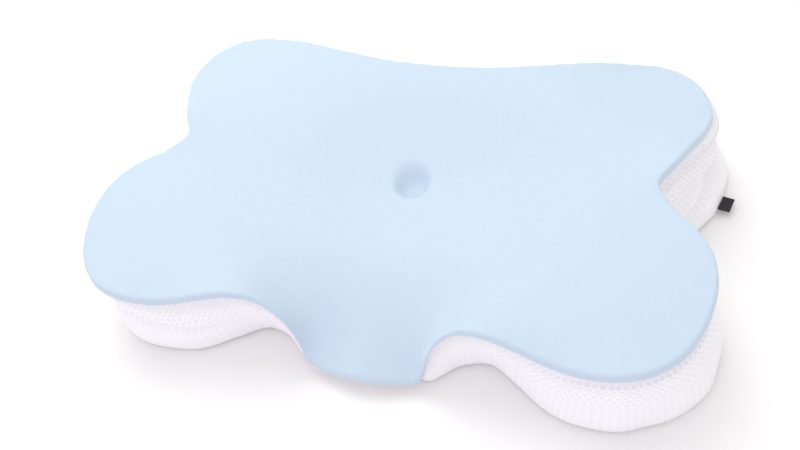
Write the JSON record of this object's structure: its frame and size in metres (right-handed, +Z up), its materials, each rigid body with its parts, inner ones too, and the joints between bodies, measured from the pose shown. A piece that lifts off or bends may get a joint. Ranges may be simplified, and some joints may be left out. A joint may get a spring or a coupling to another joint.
{
  "type": "cervical pillow",
  "caption": "Cervical pillow with a pale blue top, a white mesh border, wings at its corners, arm and shoulder notches, a head cradle with a dimple, and a sloping front tongue.",
  "frame": {"origin": "on the floor, under the middle of the pillow's box as it lies", "axes": "+X along the pillow's length, to the side with the tab; -Y to the front, where the tongue slopes down; +Z up through the top panel"},
  "size_m": [0.6346, 0.382, 0.1163],
  "materials": {
    "blue_cool_cloth": "matte",
    "white_mesh_cloth": "matte",
    "white_base_cloth": "matte",
    "black_tab_weave": "matte"
  },
  "bodies": {
    "root": {"filled_cushion": "white_base_cloth", "top_panel": "blue_cool_cloth", "mesh_border": "white_mesh_cloth", "side_tab": "black_tab_weave"}
  },
  "joints": []
}
